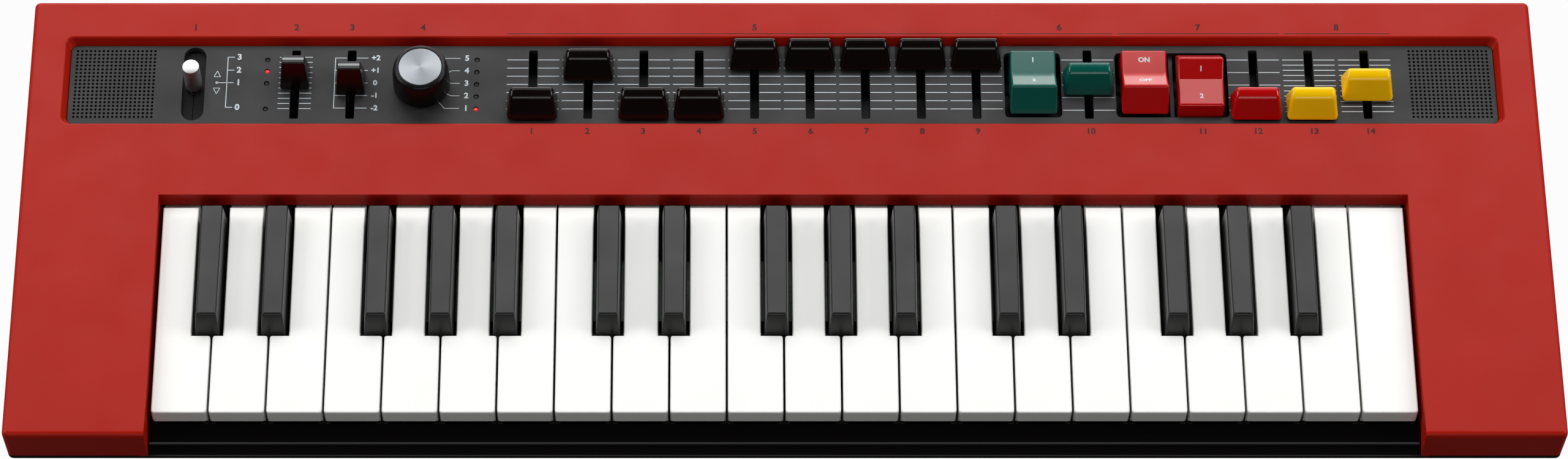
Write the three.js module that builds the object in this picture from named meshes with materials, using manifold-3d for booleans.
// Combo organ with 37 small keys in a sloped plastic case. Millimetres, +Z up, keys towards -Y.
import * as THREE from 'three';
import { mergeVertices } from 'three/addons/utils/BufferGeometryUtils.js';
import Module from 'manifold-3d';

const wasm = await Module();
wasm.setup();

// Fits shared by all pieces
const seam = 0.3;
const overrun = 2;
const weld = 0.0001;
const halfShare = 0.5;

// Case
const caseWidth = 530;
const caseDepth = 175;
const caseWall = 2.5;
const deckTiltDegrees = 3;
const deckFrontHeight = 42;
const skirtDrop = 14;
const edgeRound = 1.3;
const frontRun = 1;
const frontRound = 2.6;
const caseCorner = 2;
const skirtDraft = 0.5;
const lowerWall = 3.5;
const footHeight = 3;
const footRadius = 7;
const footInset = 26;
const floorWall = 2.5;
const frontTaper = 17.5;
const sideTaper = 14;
const rearTaper = 9;
const bossRadius = 4.5;
const screwHead = 3;
const screwDepth = 9;
const bossFromSide = 24;

// Panel recess and panel
const recessMargin = 12.1;
const recessBehind = 14.9;
const recessRun = 36.1;
const recessDepth = 3.2;
const recessDraft = 1.6;
const recessCorner = 3.6;
const recessWall = 2;
const ledge = 1;
const ledgeThick = 2;
const panelThick = 2;
const panelCorner = 2;

// Key opening and front rail
const cheekWidth = 48.25;
const bridgeDepth = 29;
const openingFlange = 7;
const flangeWall = 2;
const railDrop = 6.2;
const railDepth = 8.5;
const railLip = 1.8;
const railLipDrop = 12;

// Keys
const whiteCount = 22;
const keySideGap = 1.04;
const whiteGap = 0.75;
const keyDrop = 4;
const keyHeight = 10;
const keySkin = 1.6;
const keyRound = 1.2;
const keyChamferShare = 0.3;
const whiteFront = 10;
const whiteRearGap = 2.7;
const notchShare = 0.3715;
const notchWidth = 10.4;
const blackBaseWidth = 9.2;
const blackTopWidth = 7;
const blackRise = 7.4;
const blackFrontGap = 0.7;
const blackLean = 3.5;
const blackRearGap = 3.5;
const blackEdge = 0.5;
const blackBar = 4;
const blackBarGap = 3.5;
const blackBarThick = 2;
const pivotBehind = 13;
const pivotDrop = 10.5;
const barrelRadius = 2.5;
const tailTopDrop = 8.5;
const tailThick = 3.5;
const strikerShare = 0.6765;
const strikerThick = 2;
const strikerDrop = 15.5;
const blackOffset = 1.5;
const wideOffset = 2.5;

// Key frame and contact board
const frameSideGap = 2.25;
const frameSetback = 6;
const frameBehind = 4;
const frameTopDrop = 24;
const frameThick = 2;
const railBlock = 8;
const railBackDrop = 9.7;
const railFrontDrop = 12.7;
const bladeThick = 2;
const whiteBladeShare = 0.1968;
const blackBladeShare = 0.492;
const whiteBladeDrop = 12;
const blackBladeDrop = 11;
const bladeClearance = 0.5;
const holdRibThick = 2;
const boardThick = 1.6;
const contactShare = 0.5535;
const contactDepth = 24;
const contactSideGap = 2.5;
const contactDrop = 20.4;
const domeFoot = 3;
const domeTop = 1.8;
const domeHeight = 1.4;
const standRadius = 3;
const standEdge = 4;
const caseStandRadius = 4;

// Controls on the panel
const slotWidth = 3.1;
const slotFrontGap = 4;
const slotRearGap = 3.7;
const slotCornerShare = 0.1;
const scaleLowGap = 4.05;
const scaleHighGap = 3.97;
const capFloat = 0.6;
const capHeight = 9;
const stemWidth = 2.4;
const stemDepth = 4;
const potWidth = 7.6;
const potMargin = 0.8;
const potHeight = 5;
const potGroove = 3.4;
const potGrooveDepth = 3.5;
const controlBoardDrop = 14;
const controlBoardGap = 5.3;
const pillarRadius = 2.2;
const pillarOffset = 0.35;
const lampHole = 1;
const lampPipe = 0.7;

// Speed lever
const leverGap = 14;
const leverOffset = 0.4;
const leverRadius = 3;
const leverRise = 13;
const leverPivotDrop = 10;
const leverSwingDegrees = 20;
const leverSlotWidth = 7.9;
const leverSlotMargin = 0.95;
const leverHub = 2.4;
const pinRadius = 1.2;
const pinLength = 6.2;
const bracketWidth = 17;
const bracketMargin = 0.45;
const bracketThick = 1.5;
const lugThick = 1.6;
const lugReach = 3;

// Wave selector knob
const knobOffset = -0.25;
const knobRadius = 10;
const knobHeight = 11;
const knobWaist = 9.6;
const knobShoulder = 8.1;
const knobRound = 2;
const knobCrownInShare = 0.25;
const knobCrownDropShare = 0.4;
const discRadius = 7.5;
const discThick = 0.8;
const knobShaft = 3;
const selectorSize = 14;
const selectorHeight = 6;

// Rocker switches
const rockerOffset = -0.15;
const rockerPivotDrop = 8;
const rockerSideGap = 0.5;
const rockerEndGap = 4.475;
const rockerValley = 9.5;
const rockerHorn = 12.2;
const rockerSkirt = 1.9;
const rockerLean = 0.4268;
const rockerHub = 2.2;
const rockerEdge = 0.66;
const rockerTiltDegrees = 13.6;
const rockerPin = 1.2;
const wellSideGap = 1.4;
const wellEndGap = 0.825;
const wellCorner = 1.5;
const webThick = 1.4;
const webHalf = 3;
const webAnchor = 1;

// Loudspeakers
const speakerSideGap = 1.9;
const speakerWallGap = 2.55;
const speakerOffset = 0.65;
const speakerFlange = 1.6;
const coneRim = 1.3;
const speakerBasket = 8;
const magnetRim = 4.9;
const magnetHeight = 5;

// Sockets at the back
const jackBoardLift = 0.1;
const jackBoardInset = 53;
const jackBoardWidth = 112;
const jackBoardDepth = 32;
const socketWidth = 12.5;
const socketDepth = 13.5;
const socketBush = 4.6;
const socketBore = 3.25;
const socketBoreDepth = 14;
const inletWidth = 10;
const inletHeight = 11;
const inletBush = 3.6;
const inletBore = 2.9;
const inletPin = 0.9;
const inletBoreDepth = 8.4;
const buttonSize = 7;
const buttonThrow = 2;
const buttonStem = 3;
const switchSize = 9;
const switchDepth = 8;
const bushSetback = 0.3;

// Worked out from the sizes above
const deckTilt = THREE.MathUtils.degToRad(deckTiltDegrees);
const caseHalf = caseWidth * halfShare;
const frontY = -caseDepth * halfShare;
const rearY = caseDepth * halfShare;
const seamHeight = deckFrontHeight - skirtDrop;
const deckOriginY = frontY + frontRun;
const deckLength = caseDepth - frontRun;
const recessHalf = caseHalf - recessMargin;
const recessRear = deckLength - recessBehind;
const recessFront = recessRear - recessRun;
const panelMiddle = (recessFront + recessRear) * halfShare;
const openingHalf = caseHalf - cheekWidth;
const openingRear = recessFront - bridgeDepth;
const panelDrop = recessDepth;
const panelUnder = panelDrop + panelThick;
const panelHalf = recessHalf - recessDraft - seam;
const panelFront = recessFront + recessDraft + seam;
const panelRear = recessRear - recessDraft - seam;
const keysHalf = openingHalf - keySideGap;
const whitePitch = keysHalf / (whiteCount * halfShare);
const whiteRear = openingRear - whiteRearGap;
const alongKey = (share) => whiteFront + share * (whiteRear - whiteFront);
const notchFront = alongKey(notchShare);
const blackFront = notchFront + blackFrontGap;
const blackTopFront = blackFront + blackLean;
const blackRear = whiteRear - blackRearGap;
const strikerPlace = alongKey(strikerShare);
const pivotPlace = openingRear + pivotBehind;
const blackBarRear = pivotPlace - barrelRadius - blackBarGap;
const frameHalf = openingHalf - frameSideGap;
const frameFront = whiteFront + frameSetback;
const frameRear = pivotPlace + frameBehind;
const contactFront = alongKey(contactShare);
const contactHalf = frameHalf - contactSideGap;
const slotFront = recessFront + slotFrontGap;
const slotRear = recessRear - slotRearGap;
const slotRun = slotRear - slotFront;
const scaleLow = slotFront + scaleLowGap;
const scaleHigh = slotRear - scaleHighGap;
const speakerHalf = recessRun * halfShare - recessDraft - speakerWallGap;
const speakerPlace = panelHalf - speakerSideGap - speakerHalf;
const speakerCone = speakerHalf - coneRim;
const speakerMagnet = speakerHalf - magnetRim;
const controlBoardHalf = speakerPlace - speakerHalf - controlBoardGap;
const leverPlace = speakerHalf + leverGap - speakerPlace;
const leverY = panelMiddle + leverOffset;
const knobY = panelMiddle + knobOffset;
const rockerY = panelMiddle + rockerOffset;
const wellLength = slotRun - wellEndGap * 2;
const rockerHalfTop = wellLength * halfShare - rockerEndGap;
const jackBoardLow = seamHeight + jackBoardLift;
const jackBoardRight = caseHalf - jackBoardInset;
const jackBoardLeft = jackBoardRight - jackBoardWidth;
const pinHole = pinRadius + seam;
const controlBoardUnder = controlBoardDrop + boardThick;
const frameUnder = frameTopDrop + frameThick;

const deck = new THREE.Group();
deck.position.set(0, deckOriginY, deckFrontHeight);
deck.rotation.x = deckTilt;
deck.updateMatrixWorld();

const organ = new THREE.Group();
organ.name = 'combo_organ';
organ.add(deck);

// Finishes
const finish = {
  red: { color: 0xa8332b, roughness: 0.45, metalness: 0 },
  black: { color: 0x151516, roughness: 0.35, metalness: 0 },
  panel: { color: 0x444546, roughness: 0.6, metalness: 0 },
  ivory: { color: 0xf4f4ef, roughness: 0.25, metalness: 0 },
  ebony: { color: 0x2b2b2c, roughness: 0.3, metalness: 0 },
  green: { color: 0x14705c, roughness: 0.2, metalness: 0 },
  cherry: { color: 0xb81410, roughness: 0.2, metalness: 0 },
  yellow: { color: 0xf2c616, roughness: 0.2, metalness: 0 },
  metal: { color: 0xd0d0d2, roughness: 0.3, metalness: 1 },
  board: { color: 0x1d5a34, roughness: 0.6, metalness: 0 },
  frame: { color: 0x8a8a86, roughness: 0.7, metalness: 0 },
  speaker: { color: 0x1c1c1e, roughness: 0.7, metalness: 0 },
};

// A closed solid from a three.js geometry
function solid(geometry) {
  const plain = new THREE.BufferGeometry();
  plain.setAttribute('position', geometry.getAttribute('position').clone());
  if (geometry.index) plain.setIndex(geometry.index.clone());
  const merged = mergeVertices(plain, weld);
  const order = [...merged.index.array];
  const triangles = [];
  for (let i = 0; i < order.length; i += 3) {
    const [a, b, c] = order.slice(i, i + 3);
    if (a !== b && b !== c && c !== a) triangles.push(a, b, c);
  }
  const mesh = new wasm.Mesh({
    numProp: 3,
    vertProperties: new Float32Array(merged.getAttribute('position').array),
    triVerts: new Uint32Array(triangles),
  });
  return new wasm.Manifold(mesh);
}

// The three.js geometry of a solid
function geometryOf(body) {
  const mesh = body.getMesh();
  const geometry = new THREE.BufferGeometry();
  geometry.setAttribute('position', new THREE.BufferAttribute(new Float32Array(mesh.vertProperties), 3));
  geometry.setIndex(new THREE.BufferAttribute(new Uint32Array(mesh.triVerts), 1));
  geometry.computeVertexNormals();
  return geometry;
}

// A named mesh with its own material
function piece(name, body, look, parent) {
  const mesh = new THREE.Mesh(geometryOf(body), new THREE.MeshStandardMaterial(look));
  mesh.name = name;
  parent.add(mesh);
  return mesh;
}

// A box between two corners
function box(left, right, front, back, low, high) {
  const geometry = new THREE.BoxGeometry(right - left, back - front, high - low);
  geometry.translate((left + right) * halfShare, (front + back) * halfShare, (low + high) * halfShare);
  return solid(geometry);
}

// An upright cylinder or cone
function post(x, y, radius, low, high, sides = 16, topRadius = radius) {
  const geometry = new THREE.CylinderGeometry(topRadius, radius, high - low, sides);
  geometry.rotateX(Math.PI / 2);
  geometry.translate(x, y, (low + high) * halfShare);
  return solid(geometry);
}

// A cylinder lying along X
function axleX(left, right, y, z, radius, sides = 16) {
  const geometry = new THREE.CylinderGeometry(radius, radius, right - left, sides);
  geometry.rotateZ(Math.PI / 2);
  geometry.translate((left + right) * halfShare, y, z);
  return solid(geometry);
}

// A cylinder lying along Y
function axleY(x, z, radius, front, back, sides = 20) {
  const geometry = new THREE.CylinderGeometry(radius, radius, back - front, sides);
  geometry.translate(x, (front + back) * halfShare, z);
  return solid(geometry);
}

// A side profile of [y, z] points, run along X
function barX(points, left, right) {
  const shape = new THREE.Shape(points.map(([y, z]) => new THREE.Vector2(y, z)));
  const geometry = new THREE.ExtrudeGeometry(shape, { depth: right - left, bevelEnabled: false });
  const turn = new THREE.Matrix4().makeBasis(
    new THREE.Vector3(0, 1, 0),
    new THREE.Vector3(0, 0, 1),
    new THREE.Vector3(1, 0, 0),
  );
  geometry.applyMatrix4(turn);
  geometry.translate(left, 0, 0);
  return solid(geometry);
}

// Points of a rectangle with round corners, anticlockwise
function outline(left, right, front, back, radius, steps = 4) {
  const corners = [
    [right - radius, front + radius, -Math.PI / 2],
    [right - radius, back - radius, 0],
    [left + radius, back - radius, Math.PI / 2],
    [left + radius, front + radius, Math.PI],
  ];
  const points = [];
  for (const [x, y, start] of corners) {
    for (let step = 0; step <= steps; step += 1) {
      const angle = start + (step / steps) * (Math.PI / 2);
      points.push(new THREE.Vector2(x + radius * Math.cos(angle), y + radius * Math.sin(angle)));
    }
  }
  return points;
}

// A closed solid through outlines at rising heights, each height a number or a function of y
function loft(levels) {
  const count = levels[0].points.length;
  const positions = [];
  for (const { points, at } of levels) {
    for (const point of points) {
      positions.push(point.x, point.y, typeof at === 'function' ? at(point.y) : at);
    }
  }
  const index = [];
  for (let level = 0; level < levels.length - 1; level += 1) {
    for (let i = 0; i < count; i += 1) {
      const next = (i + 1) % count;
      const low = level * count;
      const high = low + count;
      index.push(low + i, low + next, high + next);
      index.push(low + i, high + next, high + i);
    }
  }
  const top = (levels.length - 1) * count;
  for (const [a, b, c] of THREE.ShapeUtils.triangulateShape(levels[0].points, [])) {
    index.push(a, c, b);
  }
  for (const [a, b, c] of THREE.ShapeUtils.triangulateShape(levels[levels.length - 1].points, [])) {
    index.push(top + a, top + b, top + c);
  }
  const geometry = new THREE.BufferGeometry();
  geometry.setAttribute('position', new THREE.Float32BufferAttribute(positions, 3));
  geometry.setIndex(index);
  return solid(geometry);
}

// A solid of deck sizes, moved to where the deck lies
function onDeck(body) {
  return body.transform(deck.matrixWorld.elements);
}

// The height of the deck plane at a world y, less a drop
function deckHeight(y, drop) {
  return deckFrontHeight + (y - deckOriginY) * Math.tan(deckTilt) - drop / Math.cos(deckTilt);
}

// A point of the deck as world [y, z]
function deckPoint(along, drop) {
  const y = deckOriginY + along * Math.cos(deckTilt) + drop * Math.sin(deckTilt);
  const z = deckFrontHeight + along * Math.sin(deckTilt) - drop * Math.cos(deckTilt);
  return [y, z];
}

// Places across the panel, as shares of its half width
const acrossShares = {
  leverLamp: -0.7236,
  volume: -0.6836,
  octave: -0.6053,
  knob: -0.5056,
  knobLamp: -0.4291,
  footage: -0.35,
  footageStep: 0.07777,
  vibrato: 0.3514,
  depth: 0.4292,
  percussion: 0.5074,
  rockerStep: 0.0781,
  length: 0.6622,
  distortion: 0.7402,
  reverb: 0.8189,
};
const across = (name) => acrossShares[name] * panelHalf;
const knobPlace = across('knob');
const footageFirst = across('footage');
const footagePitch = across('footageStep');
const distortionPlace = across('distortion');
const reverbPlace = across('reverb');
const capGap = 1.72;
const capLean = 2.6;

// Sliders and levers on the panel: place across, share of the way up, form and finish
const footageShares = [0, 0.79, 0, 0, 1, 1, 1, 1, 1];
const middleShare = 0.5;
const volumeShare = 0.62;
const reverbShare = 0.38;
const narrowCap = { base: 9.6, top: 8.4, depth: 9.6, topDepth: 2.6, rearRun: 1, corner: 0.9 };
const wideCap = {
  base: footagePitch - capGap,
  top: footagePitch - capGap - capLean,
  depth: 10.6,
  topDepth: 4.2,
  rearRun: 1.6,
  corner: 1.2,
};
const sliders = [
  { name: 'volume_slider', x: across('volume'), share: volumeShare, cap: narrowCap, look: finish.black },
  { name: 'octave_slider', x: across('octave'), share: middleShare, cap: narrowCap, look: finish.black },
  ...footageShares.map((share, i) => ({
    name: `footage_lever_${i + 1}`,
    x: footageFirst + i * footagePitch,
    share,
    cap: wideCap,
    look: finish.black,
  })),
  { name: 'vibrato_depth_slider', x: across('depth'), share: middleShare, cap: wideCap, look: finish.green },
  { name: 'percussion_length_slider', x: across('length'), share: 0, cap: wideCap, look: finish.cherry },
  { name: 'distortion_slider', x: distortionPlace, share: 0, cap: wideCap, look: finish.yellow },
  { name: 'reverb_slider', x: reverbPlace, share: reverbShare, cap: wideCap, look: finish.yellow },
];

// Rockers: place across, the end that is pressed (1 rear, -1 front) and finish
const vibratoPlace = across('vibrato');
const percussionPlace = across('percussion');
const rockerPitch = across('rockerStep');
const rockerWidth = rockerPitch - webThick - rockerSideGap * 2;
const wellWidth = rockerWidth + wellSideGap * 2;
const rockers = [
  { name: 'vibrato_chorus_switch', x: vibratoPlace, pressed: 1, look: finish.green },
  { name: 'percussion_switch', x: percussionPlace, pressed: 1, look: finish.cherry },
  { name: 'percussion_type_switch', x: percussionPlace + rockerPitch, pressed: -1, look: finish.cherry },
];

// Lamps beside the lever's legend and beside the knob
const leverLampPlace = across('leverLamp');
const knobLampPlace = across('knobLamp');
const leverLampShares = [0, 0.52, 0.77, 1];
const knobLampShares = [0, 0.25, 0.5, 0.75, 1];
const scaleRun = scaleHigh - scaleLow;
const lamps = [
  ...leverLampShares.map((share) => [leverLampPlace, scaleLow + share * scaleRun]),
  ...knobLampShares.map((share) => [knobLampPlace, scaleLow + share * scaleRun]),
];

// Pillars between the panel and the control board
const footagePillarShares = [2.5, 5.5, 7.5];
const pillarY = panelMiddle + pillarOffset;
const pillarPlaces = [
  (leverPlace + across('volume')) * halfShare,
  (knobLampPlace + footageFirst) * halfShare,
  ...footagePillarShares.map((step) => footageFirst + footagePitch * step),
  (distortionPlace + reverbPlace) * halfShare,
];

// Keys: the whites in order, and the blacks by the white on their left
const octaveCount = 7;
const pairCount = 2;
const trioCount = 3;
const blackShift = new Map([
  [0, -blackOffset],
  [1, blackOffset],
  [3, -wideOffset],
  [4, 0],
  [5, wideOffset],
]);
const whiteEdge = (i) => -keysHalf + i * whitePitch;
const blacks = [];
for (let i = 0; i < whiteCount - 1; i += 1) {
  const step = i % octaveCount;
  if (blackShift.has(step)) {
    blacks.push({ after: i, x: whiteEdge(i + 1) + blackShift.get(step), trio: step > 2 });
  }
}

// Upper case: a shell with round edges, open below, with the panel recess and the key opening
function upperCase() {
  const level = (inset, frontInset, drop) => ({
    points: outline(
      -caseHalf + inset,
      caseHalf - inset,
      frontY + frontInset,
      rearY - inset,
      caseCorner,
    ),
    at: typeof drop === 'function' ? drop : (y) => deckHeight(y, drop),
  });
  const arc = (radius, share) => radius * (1 - Math.sin(share * Math.PI / 2));
  const fall = (radius, share) => radius * (1 - Math.cos(share * Math.PI / 2));
  const roundShares = [1, 0.67, 0.33, 0];
  const rim = level(skirtDraft, skirtDraft, () => seamHeight);
  const edges = roundShares.map((share) => level(
    arc(edgeRound, share),
    arc(frontRound, share),
    fall(frontRound, share),
  ));
  const outer = loft([rim, ...edges]);
  const under = level(caseWall + skirtDraft, caseWall + skirtDraft, () => seamHeight - overrun);
  const roof = level(caseWall + skirtDraft, caseWall + skirtDraft, caseWall);
  let shell = outer.subtract(loft([under, roof]));

  const tub = loft([
    {
      points: outline(
        -recessHalf - recessWall,
        recessHalf + recessWall,
        recessFront - recessWall,
        recessRear + recessWall,
        recessCorner,
      ),
      at: -panelUnder - ledgeThick - seam,
    },
    {
      points: outline(
        -recessHalf - recessWall,
        recessHalf + recessWall,
        recessFront - recessWall,
        recessRear + recessWall,
        recessCorner,
      ),
      at: -caseWall * halfShare,
    },
  ]);
  const flangeHalf = openingHalf + flangeWall;
  const rearFlange = box(
    -flangeHalf,
    flangeHalf,
    openingRear,
    openingRear + flangeWall,
    -openingFlange,
    -caseWall * halfShare,
  );
  const holdRib = box(
    -keysHalf,
    keysHalf,
    pivotPlace - holdRibThick * halfShare,
    pivotPlace + holdRibThick * halfShare,
    -pivotDrop + barrelRadius + seam,
    -caseWall * halfShare,
  );
  shell = shell.add(onDeck(tub.add(rearFlange).add(holdRib)));
  for (const side of [-1, 1]) {
    const near = side * openingHalf;
    const far = side * (openingHalf + caseWall);
    const cheekWall = box(
      Math.min(near, far),
      Math.max(near, far),
      -overrun,
      openingRear + flangeWall,
      -deckFrontHeight,
      -caseWall * halfShare,
    );
    shell = shell.add(onDeck(cheekWall).intersect(outer));
    for (const along of bossRows()) {
      const x = side * (caseHalf - bossFromSide);
      const [y] = deckPoint(along, 0);
      const boss = post(x, y, bossRadius, seamHeight, deckHeight(y, caseWall * halfShare));
      shell = shell.add(boss);
    }
  }

  const opening = box(-openingHalf, openingHalf, -caseDepth, openingRear, -caseDepth, caseDepth);
  const recess = loft([
    {
      points: outline(
        -recessHalf + recessDraft,
        recessHalf - recessDraft,
        recessFront + recessDraft,
        recessRear - recessDraft,
        panelCorner,
      ),
      at: -panelUnder - seam,
    },
    {
      points: outline(
        -recessHalf + recessDraft,
        recessHalf - recessDraft,
        recessFront + recessDraft,
        recessRear - recessDraft,
        panelCorner,
      ),
      at: -recessDepth,
    },
    {
      points: outline(-recessHalf, recessHalf, recessFront, recessRear, recessCorner),
      at: 0,
    },
    {
      points: outline(-recessHalf, recessHalf, recessFront, recessRear, recessCorner),
      at: overrun,
    },
  ]);
  const window = box(
    -recessHalf + recessDraft + ledge,
    recessHalf - recessDraft - ledge,
    recessFront + recessDraft + ledge,
    recessRear - recessDraft - ledge,
    -panelUnder - ledgeThick - overrun,
    0,
  );
  shell = shell.subtract(onDeck(opening.add(recess).add(window)));
  for (const hole of rearHoles()) {
    shell = shell.subtract(hole);
  }
  return shell;
}

// Where the screw posts stand along the deck
function bossRows() {
  return [footInset, openingRear + bossRadius * 2];
}

// Places of the sockets across the back
const socketZ = jackBoardLow + boardThick + socketWidth * halfShare;
const socketPlaces = [
  jackBoardLeft + socketWidth,
  jackBoardLeft + socketWidth * 3,
];
const inletPlace = jackBoardLeft + socketWidth * 5;
const inletZ = jackBoardLow + boardThick + inletHeight * halfShare;
const buttonPlace = jackBoardRight - switchSize;
const buttonZ = jackBoardLow + boardThick + switchSize * halfShare + seam;
const jackRear = rearY - caseWall - skirtDraft - seam;

// Holes through the rear wall
function rearHoles() {
  const front = jackRear - overrun;
  const back = rearY + overrun;
  const holes = socketPlaces.map((x) => axleY(x, socketZ, socketBush + seam, front, back));
  holes.push(axleY(inletPlace, inletZ, inletBush + seam, front, back));
  const reach = buttonSize * halfShare + seam;
  holes.push(box(
    buttonPlace - reach,
    buttonPlace + reach,
    front,
    back,
    buttonZ - reach,
    buttonZ + reach,
  ));
  return holes;
}

// Lower case: a tapered tub with the front rail, the posts and the feet
function lowerCase() {
  const topAt = seamHeight - seam;
  const bottomAt = footHeight;
  const level = (share, extra, at) => ({
    points: outline(
      -caseHalf + skirtDraft + sideTaper * share + extra,
      caseHalf - skirtDraft - sideTaper * share - extra,
      frontY + skirtDraft + frontTaper * share + extra,
      rearY - skirtDraft - rearTaper * share - extra,
      caseCorner,
    ),
    at,
  });
  const lipShare = 0.04;
  const outer = loft([
    level(1 + lipShare, 0, bottomAt),
    level(1 - lipShare, 0, bottomAt + edgeRound),
    level(0, 0, topAt),
  ]);
  const inner = loft([
    level(1, lowerWall, bottomAt + floorWall),
    level(0, lowerWall, topAt + overrun),
  ]);
  let tub = outer.subtract(inner);

  const railHalf = openingHalf - seam;
  const [topFrontY, topFrontZ] = deckPoint(-frontRun + skirtDraft * halfShare, railDrop);
  const rail = barX(
    [
      [frontY + skirtDraft, topAt],
      [topFrontY, topFrontZ - edgeRound * halfShare],
      deckPoint(-frontRun + skirtDraft + edgeRound * halfShare, railDrop),
      deckPoint(railDepth - frontRun, railDrop),
      deckPoint(railDepth - frontRun, railLipDrop),
      deckPoint(railDepth - frontRun - railLip, railLipDrop),
      deckPoint(railDepth - frontRun - railLip, railDrop + caseWall),
      deckPoint(caseWall - frontRun + skirtDraft, railDrop + caseWall),
      [frontY + skirtDraft + caseWall, topAt],
      [frontY + skirtDraft + caseWall * 2, topAt - caseWall],
      [frontY + skirtDraft + caseWall, topAt - caseWall],
    ],
    -railHalf,
    railHalf,
  );
  tub = tub.add(rail);

  const stands = [];
  const standReachShares = [-0.94, -0.47, 0, 0.47, 0.94];
  for (const share of standReachShares) {
    for (const along of [frameFront + caseStandRadius, frameRear - caseStandRadius]) {
      stands.push(post(share * frameHalf, along, caseStandRadius, -caseDepth, -frameUnder - seam));
    }
  }
  let posts = onDeck(wasm.Manifold.union(stands));
  for (const x of [jackBoardLeft + standRadius, jackBoardRight - standRadius]) {
    for (const y of [jackRear - standRadius, jackRear - jackBoardDepth + standRadius]) {
      posts = posts.add(post(x, y, standRadius, -overrun, jackBoardLow - seam));
    }
  }
  for (const side of [-1, 1]) {
    for (const along of bossRows()) {
      const [y] = deckPoint(along, 0);
      posts = posts.add(post(side * (caseHalf - bossFromSide), y, bossRadius, -overrun, topAt));
    }
  }
  tub = tub.add(posts.intersect(outer));
  for (const side of [-1, 1]) {
    for (const along of bossRows()) {
      const [y] = deckPoint(along, 0);
      const x = side * (caseHalf - bossFromSide);
      tub = tub.subtract(post(x, y, screwHead, 0, footHeight + screwDepth, 12));
    }
    for (const y of [frontY + frontTaper + footInset, rearY - rearTaper - footInset * halfShare]) {
      const x = side * (caseHalf - sideTaper - footInset);
      tub = tub.add(post(x, y, footRadius, 0, footHeight + floorWall * halfShare, 24));
    }
  }
  return tub;
}

// Control panel: a plate with slots, wells and lamp holes, and pillars under it
function controlPanel() {
  const shape = new THREE.Shape(outline(-panelHalf, panelHalf, panelFront, panelRear, panelCorner));
  const cut = (left, right, front, back, radius, steps = 3) => {
    shape.holes.push(new THREE.Path(outline(left, right, front, back, radius, steps).reverse()));
  };
  for (const { x } of sliders) {
    const half = slotWidth * halfShare;
    cut(x - half, x + half, slotFront, slotRear, slotWidth * slotCornerShare, 1);
  }
  const leverHalf = leverSlotWidth * halfShare;
  const leverSlotReach = slotRun * halfShare + leverSlotMargin;
  cut(
    leverPlace - leverHalf,
    leverPlace + leverHalf,
    leverY - leverSlotReach,
    leverY + leverSlotReach,
    leverHalf - weld,
    6,
  );
  const wellHalf = wellWidth * halfShare;
  const wellFront = rockerY - wellLength * halfShare;
  const wellRear = rockerY + wellLength * halfShare;
  cut(vibratoPlace - wellHalf, vibratoPlace + wellHalf, wellFront, wellRear, wellCorner);
  cut(
    percussionPlace - wellHalf,
    percussionPlace + rockerPitch + wellHalf,
    wellFront,
    wellRear,
    wellCorner,
  );
  const hole = (x, y, radius, steps) => {
    const path = new THREE.Path();
    path.absarc(x, y, radius, 0, Math.PI * 2, true);
    shape.holes.push(new THREE.Path(path.getPoints(steps)));
  };
  for (const [x, y] of lamps) hole(x, y, lampHole, 8);
  hole(knobPlace, knobY, knobShaft + seam, 20);
  const plate = new THREE.ExtrudeGeometry(shape, { depth: panelThick, bevelEnabled: false });
  plate.translate(0, 0, -panelUnder);
  let body = solid(plate);
  for (const x of pillarPlaces) {
    body = body.add(post(
      x,
      pillarY,
      pillarRadius,
      -controlBoardDrop + seam,
      -panelDrop - panelThick * halfShare,
      12,
    ));
  }
  const sideWebs = [
    vibratoPlace - wellHalf - webThick,
    vibratoPlace + wellHalf,
    percussionPlace - wellHalf - webThick,
    percussionPlace + rockerPitch + wellHalf,
  ];
  const low = -rockerPivotDrop - webHalf;
  const middlePanel = -panelUnder + panelThick * halfShare;
  for (const left of sideWebs) {
    body = body.add(box(left, left + webThick, rockerY - webHalf, rockerY + webHalf, low, middlePanel));
  }
  const middleWeb = percussionPlace + (rockerPitch - webThick) * halfShare;
  const reach = wellLength * halfShare + webAnchor;
  body = body.add(box(
    middleWeb,
    middleWeb + webThick,
    rockerY - reach,
    rockerY + reach,
    low,
    -panelUnder - seam,
  ));
  for (const front of [rockerY - reach, rockerY + reach - webAnchor]) {
    body = body.add(box(
      middleWeb,
      middleWeb + webThick,
      front,
      front + webAnchor,
      -rockerPivotDrop,
      middlePanel,
    ));
  }
  for (const left of [...sideWebs, middleWeb]) {
    body = body.subtract(axleX(
      left - overrun,
      left + webThick + overrun,
      rockerY,
      -rockerPivotDrop,
      rockerPin + seam,
    ));
  }
  return body;
}

// A slider's cap, its stem through the slot and its foot in the pot
function sliderBody(cap) {
  const rear = cap.depth * halfShare;
  const foot = -panelDrop + capFloat;
  const head = foot + capHeight;
  const ring = (width, front, back, at, corner) => ({
    points: outline(-width * halfShare, width * halfShare, front, back, corner, 3),
    at,
  });
  const topRear = rear - cap.rearRun;
  const topFront = topRear - cap.topDepth;
  const bulge = cap.corner * halfShare;
  const body = loft([
    ring(cap.base, -rear, rear, foot, cap.corner),
    ring(cap.top + bulge, topFront - bulge, topRear + bulge * halfShare, head - cap.corner, cap.corner),
    ring(cap.top, topFront, topRear, head - bulge * halfShare, cap.corner),
    ring(cap.top - bulge * 2, topFront + bulge, topRear - bulge, head, bulge),
  ]);
  const stem = box(
    -stemWidth * halfShare,
    stemWidth * halfShare,
    -stemDepth * halfShare,
    stemDepth * halfShare,
    -controlBoardDrop + potHeight - potGrooveDepth + seam,
    foot + capHeight * halfShare * halfShare,
  );
  return body.add(stem);
}

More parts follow.
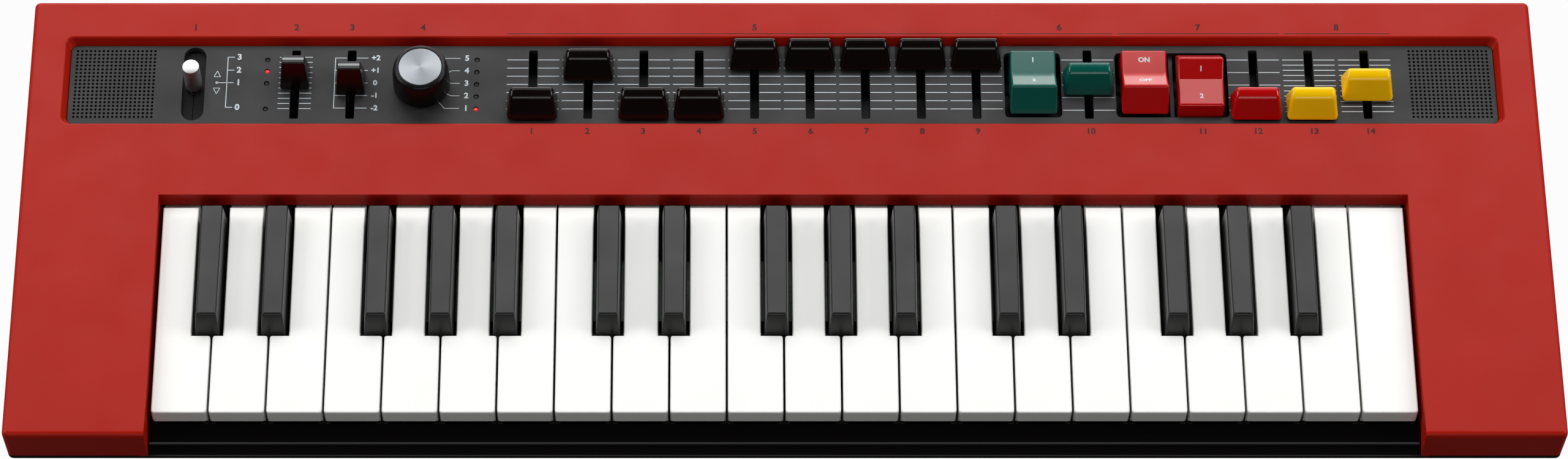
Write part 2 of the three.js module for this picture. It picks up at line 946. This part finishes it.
// The speed lever: a metal rod, its hub and its pivot pin
function leverBody() {
  const rod = post(0, 0, leverRadius, 0, leverPivotDrop - panelDrop + leverRise, 24);
  const hub = axleX(-leverRadius, leverRadius, 0, 0, leverHub, 16);
  const pin = axleX(-pinLength, pinLength, 0, 0, pinRadius, 12);
  return rod.add(hub).add(pin);
}

// The bracket that carries the speed lever under the panel
function leverBracket() {
  const top = -panelUnder - seam;
  const half = bracketWidth * halfShare;
  const reach = slotRun * halfShare + bracketMargin + weld;
  let body = box(
    -half,
    half,
    -reach,
    reach,
    top - bracketThick,
    top,
  );
  const swing = Math.tan(THREE.MathUtils.degToRad(leverSwingDegrees)) * leverPivotDrop;
  const reachX = leverRadius + seam;
  const reachY = leverRadius + swing + seam;
  body = body.subtract(box(-reachX, reachX, -reachY, reachY, top - overrun, top + overrun));
  for (const side of [-1, 1]) {
    const near = side * (pinLength - lugThick - seam);
    const far = side * (pinLength - seam);
    body = body.add(box(
      Math.min(near, far),
      Math.max(near, far),
      -lugReach,
      lugReach,
      -leverPivotDrop - lugReach,
      top - bracketThick * halfShare,
    ));
  }
  const hole = axleX(-half, half, 0, -leverPivotDrop, pinHole, 12);
  return body.subtract(hole);
}

// The wave selector knob and its disc
function knobBody() {
  const low = -panelDrop + capFloat;
  const high = low + knobHeight;
  const profile = [
    [0, -controlBoardDrop + selectorHeight + seam],
    [knobShaft, -controlBoardDrop + selectorHeight + seam],
    [knobShaft, low],
    [knobRadius - edgeRound * halfShare, low],
    [knobRadius, low + edgeRound * halfShare],
    [knobWaist, high - knobRound],
    [knobWaist - knobRound * knobCrownInShare, high - knobRound * knobCrownDropShare],
    [knobShoulder, high],
    [discRadius + seam, high],
    [discRadius + seam, high - discThick - seam],
    [0, high - discThick - seam],
  ].map(([r, z]) => new THREE.Vector2(r, z));
  const geometry = new THREE.LatheGeometry(profile, 36);
  geometry.rotateX(Math.PI / 2);
  return solid(geometry);
}

function knobDisc() {
  const high = -panelDrop + capFloat + knobHeight;
  return post(0, 0, discRadius, high - discThick, high, 36);
}

// A rocker with a dished top, its skirt and its pivot pins
function rockerBody() {
  const skirtHalf = rockerHalfTop + (rockerHorn - rockerSkirt) * rockerLean;
  const edge = rockerEdge;
  const half = rockerWidth * halfShare;
  const body = barX(
    [
      [-skirtHalf, rockerSkirt],
      [-rockerHub, rockerSkirt],
      [-rockerHub, -rockerHub],
      [rockerHub, -rockerHub],
      [rockerHub, rockerSkirt],
      [skirtHalf, rockerSkirt],
      [rockerHalfTop + edge * rockerLean, rockerHorn - edge],
      [rockerHalfTop - edge * rockerLean, rockerHorn],
      [0, rockerValley],
      [-rockerHalfTop + edge * rockerLean, rockerHorn],
      [-rockerHalfTop - edge * rockerLean, rockerHorn - edge],
    ],
    -half,
    half,
  );
  const reach = rockerPitch * halfShare - seam * halfShare;
  return body.add(axleX(-reach, reach, 0, 0, rockerPin, 12));
}

// Control board with slide pots, the selector switch and lamp pipes
function controlBoard() {
  let body = box(
    -controlBoardHalf,
    controlBoardHalf,
    slotFront,
    slotRear,
    -controlBoardUnder,
    -controlBoardDrop,
  );
  const middle = (scaleLow + scaleHigh) * halfShare;
  const low = -controlBoardDrop - boardThick * halfShare;
  const high = -controlBoardDrop + potHeight;
  for (const { x } of sliders) {
    const half = potWidth * halfShare;
    const pot = box(x - half, x + half, slotFront - potMargin, slotRear + potMargin, low, high);
    const reach = scaleRun * halfShare + stemDepth * halfShare + seam;
    const groove = box(
      x - potGroove * halfShare,
      x + potGroove * halfShare,
      middle - reach,
      middle + reach,
      high - potGrooveDepth,
      high + overrun,
    );
    body = body.add(pot.subtract(groove));
  }
  const size = selectorSize * halfShare;
  body = body.add(box(
    knobPlace - size,
    knobPlace + size,
    knobY - size,
    knobY + size,
    low,
    -controlBoardDrop + selectorHeight,
  ));
  for (const [x, y] of lamps) {
    body = body.add(post(x, y, lampPipe, low, -panelDrop - seam, 6));
  }
  return body;
}

// A loudspeaker: square flange, cone, basket and magnet
function speakerBody() {
  const flange = loft([
    {
      points: outline(-speakerHalf, speakerHalf, -speakerHalf, speakerHalf, caseCorner),
      at: -speakerFlange,
    },
    {
      points: outline(-speakerHalf, speakerHalf, -speakerHalf, speakerHalf, caseCorner),
      at: 0,
    },
  ]);
  const basket = new THREE.LatheGeometry([
    [0, -speakerFlange - speakerBasket - magnetHeight],
    [speakerMagnet, -speakerFlange - speakerBasket - magnetHeight],
    [speakerMagnet, -speakerFlange - speakerBasket],
    [speakerCone, -speakerFlange * halfShare],
    [0, -speakerFlange * halfShare],
  ].map(([r, z]) => new THREE.Vector2(r, z)), 24);
  basket.rotateX(Math.PI / 2);
  const bowl = new THREE.LatheGeometry([
    [0, -speakerFlange - speakerBasket + caseWall],
    [speakerMagnet * halfShare, -speakerFlange - speakerBasket + caseWall],
    [speakerCone - speakerFlange, 0],
    [speakerCone - speakerFlange, overrun],
    [0, overrun],
  ].map(([r, z]) => new THREE.Vector2(r, z)), 24);
  bowl.rotateX(Math.PI / 2);
  return flange.add(solid(basket)).subtract(solid(bowl));
}

// Where a white key lies: its full width in front and what the blacks leave at the back
function whiteSpan(i) {
  const left = whiteEdge(i) + whiteGap * halfShare;
  const right = whiteEdge(i + 1) - whiteGap * halfShare;
  const before = blacks.find((black) => black.after === i - 1);
  const behind = blacks.find((black) => black.after === i);
  return {
    left,
    right,
    rearLeft: before ? before.x + notchWidth * halfShare : left,
    rearRight: behind ? behind.x - notchWidth * halfShare : right,
  };
}

// A white key, hollow below, with its striker, tail and pivot barrel
function whiteKey(i) {
  const { left, right, rearLeft, rearRight } = whiteSpan(i);
  const top = -keyDrop;
  const low = top - keyHeight;
  const front = barX(
    [
      [whiteFront, low],
      [notchFront, low],
      [notchFront, top],
      [whiteFront + keyRound, top],
      [whiteFront + keyRound * keyChamferShare, top - keyRound * keyChamferShare],
      [whiteFront, top - keyRound],
    ],
    left,
    right,
  );
  const back = box(rearLeft, rearRight, notchFront - keySkin, whiteRear, low, top);
  const frontHollow = box(
    left + keySkin,
    right - keySkin,
    whiteFront + keySkin,
    notchFront - keySkin,
    low - overrun,
    top - keySkin,
  );
  const backHollow = box(
    rearLeft + keySkin,
    rearRight - keySkin,
    notchFront - keySkin * 2,
    whiteRear - keySkin,
    low - overrun,
    top - keySkin,
  );
  const body = front.add(back).subtract(frontHollow.add(backHollow));
  return body.add(keyStriker(rearLeft, rearRight)).add(keyTail(rearLeft, rearRight, whiteRear));
}

// The rib under a key that presses its dome, set into both side walls
function keyStriker(left, right) {
  return box(
    left + keySkin * halfShare,
    right - keySkin * halfShare,
    strikerPlace,
    strikerPlace + strikerThick,
    -strikerDrop,
    -keyDrop - keySkin * halfShare,
  );
}

// The tail and the pivot barrel of a key
function keyTail(left, right, rear) {
  const low = -tailTopDrop - tailThick;
  const tail = box(left, right, rear - keySkin, pivotPlace, low, -tailTopDrop);
  return tail.add(axleX(left, right, pivotPlace, -pivotDrop, barrelRadius, 10));
}

// A black key, hollow below, with its striker, tail and barrel
function blackKey(x) {
  const low = -keyDrop - keyHeight;
  const high = -keyDrop + blackRise;
  const level = (width, front, rear, at, inset = 0) => ({
    points: outline(
      x - width * halfShare + inset,
      x + width * halfShare - inset,
      front + inset,
      rear - inset,
      blackEdge,
      2,
    ),
    at,
  });
  const nearTopShare = 0.93;
  const nearWidth = blackBaseWidth + (blackTopWidth - blackBaseWidth) * nearTopShare;
  const nearFront = blackFront + (blackTopFront - blackFront) * nearTopShare;
  const outer = loft([
    level(blackBaseWidth, blackFront, blackRear, low),
    level(blackBaseWidth, blackFront, blackRear, -keyDrop),
    level(nearWidth, nearFront, blackRear, high - blackEdge),
    level(blackTopWidth, blackTopFront, blackRear, high, blackEdge),
  ]);
  const hollow = loft([
    level(blackBaseWidth, blackFront, blackRear, low - overrun, keySkin),
    level(blackBaseWidth, blackFront, blackRear, -keyDrop, keySkin),
    level(blackTopWidth, blackTopFront, blackRear, high - keySkin, keySkin),
  ]);
  const half = notchWidth * halfShare - keySkin;
  const wall = blackBaseWidth * halfShare;
  const tail = keyTail(x - half, x + half, blackRear);
  return outer.subtract(hollow).add(keyStriker(x - wall, x + wall)).add(tail);
}

// Neighbouring black keys joined by a low bar behind the white keys
function blackGroup(group) {
  const half = notchWidth * halfShare - keySkin;
  const under = -tailTopDrop - tailThick - blackBarThick;
  let body = wasm.Manifold.union(group.map(({ x }) => blackKey(x)));
  body = body.add(box(
    group[0].x - half,
    group[group.length - 1].x + half,
    blackBarRear - blackBar,
    blackBarRear,
    under - blackBarThick,
    under,
  ));
  for (const { x } of group) {
    body = body.add(box(
      x - half,
      x + half,
      blackBarRear - blackBar,
      blackBarRear,
      under - blackBarThick,
      -tailTopDrop - tailThick * halfShare,
    ));
  }
  return body;
}

// Key frame: a tray with the pivot rail, guide blades and stands
function keyFrame() {
  let body = box(-frameHalf, frameHalf, frameFront, frameRear, -frameUnder, -frameTopDrop);
  const grip = barrelRadius + seam;
  const startAngle = Math.PI + Math.asin((railFrontDrop - pivotDrop) / grip);
  const endAngle = Math.PI * 2 + Math.asin((pivotDrop - railBackDrop) / grip);
  const steps = 10;
  const groove = [];
  for (let step = 0; step <= steps; step += 1) {
    const angle = startAngle + (step / steps) * (endAngle - startAngle);
    groove.push([pivotPlace + grip * Math.cos(angle), -pivotDrop + grip * Math.sin(angle)]);
  }
  const rail = barX(
    [
      [frameRear - railBlock, -frameTopDrop - frameThick * halfShare],
      [frameRear, -frameTopDrop - frameThick * halfShare],
      [frameRear, -railBackDrop],
      ...groove.reverse(),
      [frameRear - railBlock, -railFrontDrop],
    ],
    -frameHalf,
    frameHalf,
  );
  body = body.add(rail);
  const blade = (x, width, along, drop) => box(
    x - width * halfShare,
    x + width * halfShare,
    along,
    along + bladeThick,
    -frameTopDrop - frameThick * halfShare,
    -drop,
  );
  const whiteBlade = whitePitch - whiteGap - (keySkin + bladeClearance) * 2;
  const blackBlade = blackBaseWidth - (keySkin + bladeClearance) * 2;
  const blades = [];
  for (let i = 0; i < whiteCount; i += 1) {
    blades.push(blade(whiteEdge(i + halfShare), whiteBlade, alongKey(whiteBladeShare), whiteBladeDrop));
  }
  for (const { x } of blacks) {
    blades.push(blade(x, blackBlade, alongKey(blackBladeShare), blackBladeDrop));
  }
  for (const [x, y] of contactStands()) {
    blades.push(post(x, y, standRadius, -frameTopDrop - frameThick * halfShare, -contactUnder() - seam, 12));
  }
  return wasm.Manifold.union([body, ...blades]);
}

// The drop of the contact board's underside, and its stands
function contactUnder() {
  return contactDrop + boardThick;
}

function contactStands() {
  const standShares = [-0.9, -0.3, 0.3, 0.9];
  const rows = [contactFront + standEdge, contactFront + contactDepth - standEdge];
  return standShares.flatMap((share) => rows.map((y) => [share * contactHalf, y]));
}

// Contact board with a rubber dome under each key's striker
function contactBoard() {
  const body = box(
    -contactHalf,
    contactHalf,
    contactFront,
    contactFront + contactDepth,
    -contactUnder(),
    -contactDrop,
  );
  const places = blacks.map(({ x }) => x);
  for (let i = 0; i < whiteCount; i += 1) {
    const { rearLeft, rearRight } = whiteSpan(i);
    places.push((rearLeft + rearRight) * halfShare);
  }
  const y = strikerPlace + strikerThick * halfShare;
  const foot = -contactDrop - boardThick * halfShare;
  const domes = places.map((x) => post(x, y, domeFoot, foot, -contactDrop + domeHeight, 6, domeTop));
  return wasm.Manifold.union([body, ...domes]);
}

// Jack board with two phone sockets, the power inlet and the power switch
function jackBoard() {
  const top = jackBoardLow + boardThick;
  const low = jackBoardLow + boardThick * halfShare;
  let body = box(jackBoardLeft, jackBoardRight, jackRear - jackBoardDepth, jackRear, jackBoardLow, top);
  const bushEnd = rearY - bushSetback;
  const half = socketWidth * halfShare;
  for (const x of socketPlaces) {
    const shell = box(x - half, x + half, jackRear - socketDepth, jackRear, low, top + socketWidth);
    const bush = axleY(x, socketZ, socketBush, jackRear - overrun, bushEnd);
    const bore = axleY(x, socketZ, socketBore, bushEnd - socketBoreDepth, bushEnd + overrun);
    body = body.add(shell).add(bush).subtract(bore);
  }
  const inletHalf = inletWidth * halfShare;
  const inlet = box(
    inletPlace - inletHalf,
    inletPlace + inletHalf,
    jackRear - socketDepth,
    jackRear,
    low,
    top + inletHeight,
  );
  const inletEnd = bushEnd - inletBoreDepth;
  body = body.add(inlet).add(axleY(inletPlace, inletZ, inletBush, jackRear - overrun, bushEnd));
  body = body.subtract(axleY(inletPlace, inletZ, inletBore, inletEnd, bushEnd + overrun));
  body = body.add(axleY(inletPlace, inletZ, inletPin, inletEnd - overrun, bushEnd - inletPin, 10));
  const reach = switchSize * halfShare;
  const switchFront = jackRear - buttonThrow - overrun - switchDepth;
  const block = box(
    buttonPlace - reach,
    buttonPlace + reach,
    switchFront,
    switchFront + switchDepth,
    low,
    top + switchSize + seam,
  );
  const well = axleY(
    buttonPlace,
    buttonZ,
    buttonStem * halfShare + seam,
    switchFront + switchDepth - buttonStem - buttonThrow - seam,
    switchFront + switchDepth + overrun,
    12,
  );
  return body.add(block.subtract(well));
}

// Power button: a square cap and its round stem
function powerButton() {
  const half = buttonSize * halfShare;
  const capFront = jackRear - overrun + seam;
  const cap = box(
    buttonPlace - half,
    buttonPlace + half,
    capFront,
    rearY - bushSetback,
    buttonZ - half,
    buttonZ + half,
  );
  const stem = axleY(
    buttonPlace,
    buttonZ,
    buttonStem * halfShare,
    capFront - buttonThrow - buttonStem,
    capFront + overrun * halfShare,
    12,
  );
  return cap.add(stem);
}

// Case and fixed pieces
piece('upper_case', upperCase(), finish.red, organ);
piece('lower_case', lowerCase(), finish.black, organ);
piece('control_panel', controlPanel(), finish.panel, deck);
piece('key_frame', keyFrame(), finish.frame, deck);
piece('contact_board', contactBoard(), finish.board, deck);
piece('control_board', controlBoard(), finish.board, deck);
piece('jack_board', jackBoard(), finish.board, organ);
for (const [name, side] of [['speaker_left', -1], ['speaker_right', 1]]) {
  const speaker = piece(name, speakerBody(), finish.speaker, deck);
  speaker.position.set(side * speakerPlace, panelMiddle + speakerOffset, -panelUnder - seam);
}
const bracket = piece('lever_bracket', leverBracket(), finish.black, deck);
bracket.position.set(leverPlace, leverY, 0);

// Controls
piece('power_button', powerButton(), finish.black, organ);
const lever = piece('rotary_lever', leverBody(), finish.metal, deck);
lever.position.set(leverPlace, leverY, -leverPivotDrop);
const knob = piece('wave_knob', knobBody(), finish.black, deck);
knob.position.set(knobPlace, knobY, 0);
const disc = piece('wave_knob_disc', knobDisc(), finish.metal, deck);
disc.position.set(knobPlace, knobY, 0);
for (const { name, x, share, cap, look } of sliders) {
  const slider = piece(name, sliderBody(cap), look, deck);
  slider.position.set(x, scaleLow + share * scaleRun, 0);
}
for (const { name, x, pressed, look } of rockers) {
  const rocker = piece(name, rockerBody(), look, deck);
  rocker.position.set(x, rockerY, -rockerPivotDrop);
  rocker.rotation.x = -pressed * THREE.MathUtils.degToRad(rockerTiltDegrees);
}

// Keys
for (let i = 0; i < whiteCount; i += 1) {
  piece(`white_key_${String(i + 1).padStart(2, '0')}`, whiteKey(i), finish.ivory, deck);
}
for (const [label, trio] of [['black_key_pair', false], ['black_key_trio', true]]) {
  const kind = blacks.filter((black) => black.trio === trio);
  const count = trio ? trioCount : pairCount;
  for (let i = 0; i < kind.length; i += count) {
    piece(`${label}_${i / count + 1}`, blackGroup(kind.slice(i, i + count)), finish.ebony, deck);
  }
}

export default organ;
